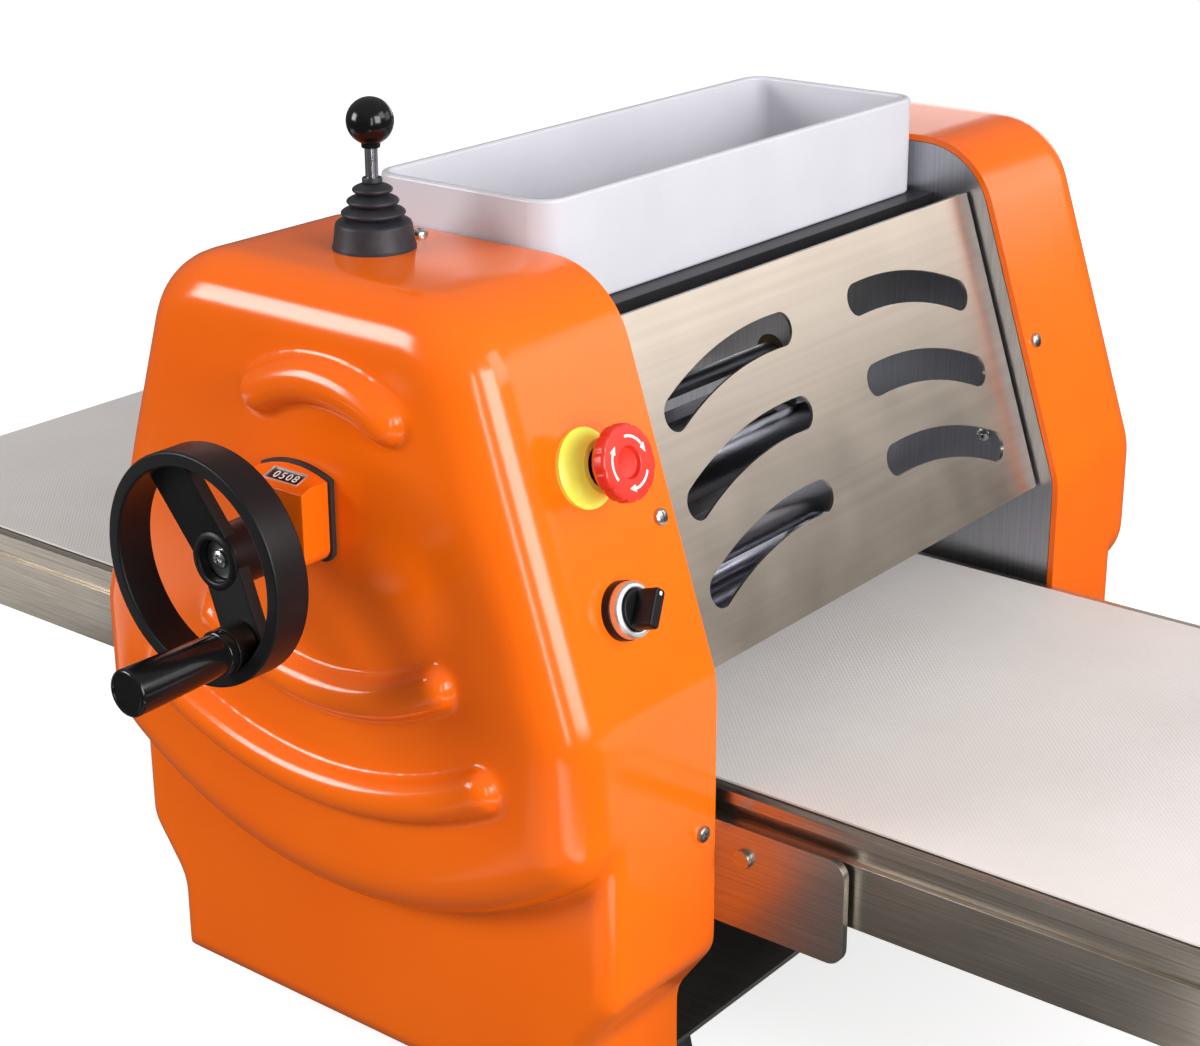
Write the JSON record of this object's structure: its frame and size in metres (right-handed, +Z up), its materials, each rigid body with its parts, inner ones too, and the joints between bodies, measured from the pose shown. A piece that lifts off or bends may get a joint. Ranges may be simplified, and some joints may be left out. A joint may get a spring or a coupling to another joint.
{
  "type": "tabletop dough sheeter",
  "caption": "Tabletop dough sheeter: moulded covers, an adjustable roller pair with a handwheel, slotted guards, a flour tray and a conveyor wing on each side.",
  "frame": {"origin": "centre of the bounding box on the table, under the machine", "axes": "+X along the conveyors, +Y along the rollers away from the handwheel, +Z up"},
  "size_m": [1.248, 0.774, 0.5677],
  "materials": {
    "orange_cover": "glossy moulded plastic",
    "stainless": "brushed stainless sheet",
    "steel": "ground steel",
    "roller_chrome": "polished",
    "black_plastic": "satin black moulded plastic",
    "black_rubber": "moulded rubber",
    "dark_panel": "satin black paint",
    "white_tray": "white moulded plastic",
    "belt": "coated woven belting",
    "red": "glossy red",
    "yellow": "satin yellow",
    "window": "clear window",
    "bezel": "satin aluminium",
    "motor_grey": "grey enamel",
    "zinc": "zinc plated",
    "bronze": "sintered bronze"
  },
  "bodies": {
    "frame": {"near_side_plate": "stainless", "far_side_plate": "stainless", "shaft_bearings": "bronze", "base_pan": "stainless", "rubber_feet": "black_rubber", "tie_rods": "steel", "top_panel": "dark_panel", "near_cover": "orange_cover", "far_cover": "orange_cover", "cover_screws": "zinc", "cover_brackets": "zinc", "lower_scrapers": "stainless", "counter_gasket": "black_rubber", "counter_housing": "orange_cover", "counter_window": "window", "lever_switch": "black_plastic", "lever_bellows": "black_rubber", "switch_bodies": "black_plastic", "estop_collar": "yellow", "selector_bezel": "bezel", "guard_pivots": "steel", "wing_brackets": "stainless", "rest_pins": "zinc", "motor": "motor_grey", "gearbox": "motor_grey", "drive_chains": "steel"},
    "lower_roller": {"lower_roller": "roller_chrome", "lower_roller_wheels": "steel"},
    "upper_carriage": {"bearing_blocks": "steel", "gap_racks": "steel", "upper_scrapers": "stainless"},
    "upper_roller": {"upper_roller": "roller_chrome", "upper_sprocket": "steel"},
    "upper_chain": {"upper_chain": "steel"},
    "jackshaft": {"jackshaft": "steel"},
    "motor_sprocket": {"motor_sprocket": "steel"},
    "gap_shaft": {"gap_shaft": "steel"},
    "handwheel": {"handwheel": "black_plastic", "handwheel_screw": "zinc", "handwheel_shaft": "steel", "grip_spindle": "steel"},
    "grip": {"grip": "black_plastic"},
    "lever": {"lever_rod": "roller_chrome", "ball_knob": "black_plastic"},
    "estop_stem": {"estop_stem": "black_plastic"},
    "estop_head": {"estop_head": "red"},
    "selector": {"selector_knob": "black_plastic"},
    "flour_tray": {"flour_tray": "white_tray"},
    "right_guard": {"right_guard": "stainless"},
    "left_guard": {"left_guard": "stainless"},
    "right_conveyor": {"right_belt": "belt", "right_rails": "stainless", "right_bed": "stainless"},
    "left_conveyor": {"left_belt": "belt", "left_rails": "stainless", "left_bed": "stainless"},
    "right_drive_roller": {"right_drive_roller": "steel"},
    "left_drive_roller": {"left_drive_roller": "steel"},
    "right_tail_roller": {"right_tail_roller": "steel"},
    "left_tail_roller": {"left_tail_roller": "steel"}
  },
  "joints": [
    {"name": "lower_roller_spin", "type": "hinge", "parent": "frame", "child": "lower_roller", "pos_m": [0, 0.067, 0.167], "axis": [0, 1, 0], "continuous": true},
    {"name": "gap_slide", "type": "slide", "parent": "frame", "child": "upper_carriage", "axis": [0, 0, 1], "range_m": [-0.011, 0.022]},
    {"name": "upper_roller_spin", "type": "hinge", "parent": "upper_carriage", "child": "upper_roller", "pos_m": [0, 0.067, 0.255], "axis": [0, 1, 0], "continuous": true},
    {"name": "upper_chain_swing", "type": "hinge", "parent": "frame", "child": "upper_chain", "pos_m": [-0.09786, 0.2865, 0.26], "axis": [0, 1, 0], "range_deg": [-13.5, 7]},
    {"name": "jackshaft_spin", "type": "hinge", "parent": "frame", "child": "jackshaft", "pos_m": [-0.09786, 0.067, 0.26], "axis": [0, 1, 0], "continuous": true},
    {"name": "motor_spin", "type": "hinge", "parent": "frame", "child": "motor_sprocket", "pos_m": [-0.095, 0.067, 0.085], "axis": [0, 1, 0], "continuous": true},
    {"name": "gap_shaft_turn", "type": "hinge", "parent": "frame", "child": "gap_shaft", "pos_m": [-0.046, 0.067, 0.32106], "axis": [0, 1, 0], "range_deg": [-106, 54]},
    {"name": "handwheel_turn", "type": "hinge", "parent": "frame", "child": "handwheel", "pos_m": [0, -0.301, 0.353], "axis": [0, 1, 0], "range_deg": [-160, 318]},
    {"name": "grip_spin", "type": "hinge", "parent": "handwheel", "child": "grip", "pos_m": [0.02175, 0.067, 0.31533], "axis": [0, 1, 0], "continuous": true},
    {"name": "lever_tilt", "type": "hinge", "parent": "frame", "child": "lever", "pos_m": [-0.012, -0.17, 0.473], "axis": [0, 1, 0], "range_deg": [-10, 10], "stiffness_Nm_per_rad": 1.5, "deforming": ["lever_bellows"]},
    {"name": "estop_press", "type": "slide", "parent": "frame", "child": "estop_stem", "axis": [0.9489, 0, 0.3156], "range_m": [-0.005, 0], "stiffness_N_per_m": 900},
    {"name": "estop_twist", "type": "hinge", "parent": "estop_stem", "child": "estop_head", "pos_m": [0.16374, -0.182, 0.40609], "axis": [0.9489, 0, 0.3156], "range_deg": [-45, 0], "stiffness_Nm_per_rad": 0.05},
    {"name": "selector_turn", "type": "hinge", "parent": "frame", "child": "selector", "pos_m": [0.17524, -0.182, 0.33035], "axis": [0.9489, 0, 0.3156], "range_deg": [0, 90]},
    {"name": "tray_lift", "type": "slide", "parent": "frame", "child": "flour_tray", "axis": [0, 0, 1], "range_m": [0, 0.06]},
    {"name": "right_guard_swing", "type": "hinge", "parent": "frame", "child": "right_guard", "pos_m": [0.1016, 0.067, 0.44089], "axis": [0, -1, 0], "range_deg": [0, 75]},
    {"name": "left_guard_swing", "type": "hinge", "parent": "frame", "child": "left_guard", "pos_m": [-0.1016, 0.067, 0.44089], "axis": [0, 1, 0], "range_deg": [0, 75]},
    {"name": "right_conveyor_tilt", "type": "hinge", "parent": "frame", "child": "right_conveyor", "pos_m": [0.072, 0.067, 0.178], "axis": [0, -1, 0], "range_deg": [0, 25]},
    {"name": "left_conveyor_tilt", "type": "hinge", "parent": "frame", "child": "left_conveyor", "pos_m": [-0.072, 0.067, 0.178], "axis": [0, 1, 0], "range_deg": [0, 25]},
    {"name": "right_drive_spin", "type": "hinge", "parent": "frame", "child": "right_drive_roller", "pos_m": [0.072, 0.067, 0.178], "axis": [0, 1, 0], "continuous": true},
    {"name": "left_drive_spin", "type": "hinge", "parent": "frame", "child": "left_drive_roller", "pos_m": [-0.072, 0.067, 0.178], "axis": [0, 1, 0], "continuous": true},
    {"name": "right_tail_spin", "type": "hinge", "parent": "right_conveyor", "child": "right_tail_roller", "pos_m": [0.602, 0.067, 0.183], "axis": [0, 1, 0], "continuous": true},
    {"name": "left_tail_spin", "type": "hinge", "parent": "left_conveyor", "child": "left_tail_roller", "pos_m": [-0.602, 0.067, 0.183], "axis": [0, 1, 0], "continuous": true}
  ],
  "couplings": [
    {"joint": "handwheel_turn", "follows": "gap_slide", "rad_per_m": 250},
    {"joint": "gap_shaft_turn", "follows": "gap_slide", "rad_per_m": -83.333},
    {"joint": "upper_chain_swing", "follows": "gap_slide", "rad_per_m": -10.219},
    {"joint": "upper_roller_spin", "follows": "lower_roller_spin", "ratio": -1},
    {"joint": "jackshaft_spin", "follows": "lower_roller_spin", "ratio": -1},
    {"joint": "motor_spin", "follows": "lower_roller_spin", "ratio": 1.7143},
    {"joint": "right_drive_spin", "follows": "lower_roller_spin", "ratio": 1.4667},
    {"joint": "left_drive_spin", "follows": "lower_roller_spin", "ratio": 1.4667},
    {"joint": "right_tail_spin", "follows": "lower_roller_spin", "ratio": 1.8159},
    {"joint": "left_tail_spin", "follows": "lower_roller_spin", "ratio": 1.8159}
  ]
}
